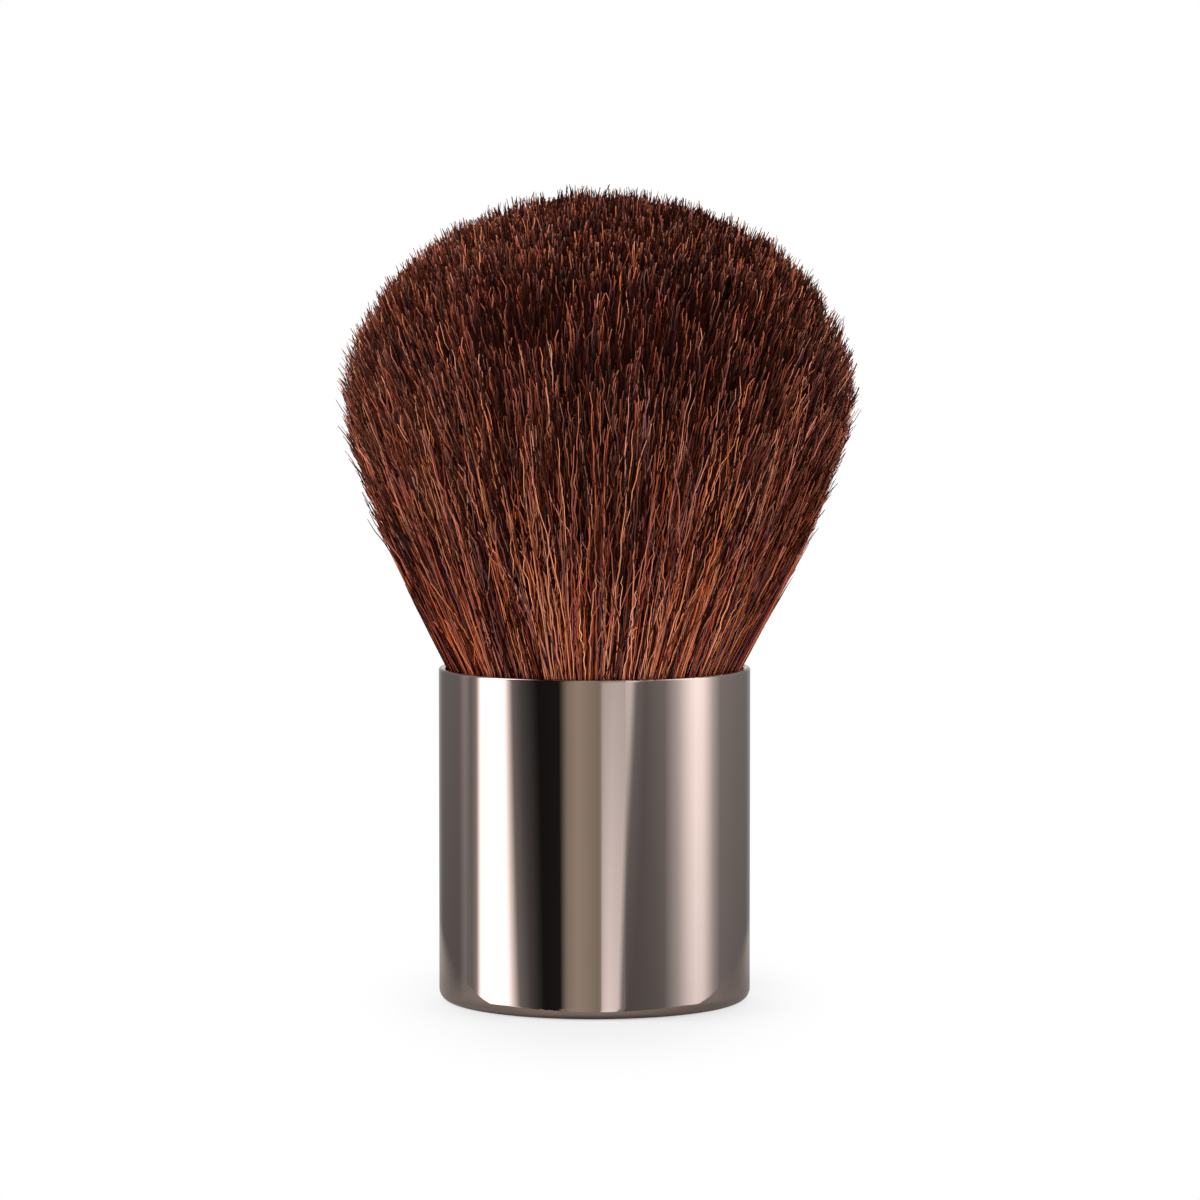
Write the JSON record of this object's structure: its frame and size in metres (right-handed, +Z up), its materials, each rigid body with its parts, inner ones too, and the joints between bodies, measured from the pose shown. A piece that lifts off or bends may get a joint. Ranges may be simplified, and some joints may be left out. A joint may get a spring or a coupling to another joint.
{
  "type": "kabuki makeup brush",
  "caption": "Short, wide makeup brush: a polished metal cup for a handle, with a dense dome of dark and copper hair that fans out of it. It stands on its base, hair up.",
  "frame": {"origin": "middle of the flat foot of the handle", "axes": "+Z up along the brush's axis, from the foot to the top of the hair; the picture looks along +Y"},
  "size_m": [0.0442, 0.0442, 0.0718],
  "materials": {
    "gunmetal": "mirror-polished dark nickel plating",
    "adhesive": "cured adhesive",
    "steel": "turned",
    "moulding": "moulded, black",
    "epoxy": "cast, amber",
    "thread": "waxed thread",
    "hair": "mixed black-brown and copper hair, glossy along its length"
  },
  "bodies": {
    "root": {"handle_shell": "gunmetal", "weight_adhesive": "adhesive", "base_weight": "steel", "hair_cup": "moulding", "cup_adhesive": "adhesive", "epoxy_plug": "epoxy", "root_binding": "thread", "core_tuft": "hair", "inner_tufts": "hair", "outer_tufts": "hair"}
  },
  "joints": []
}
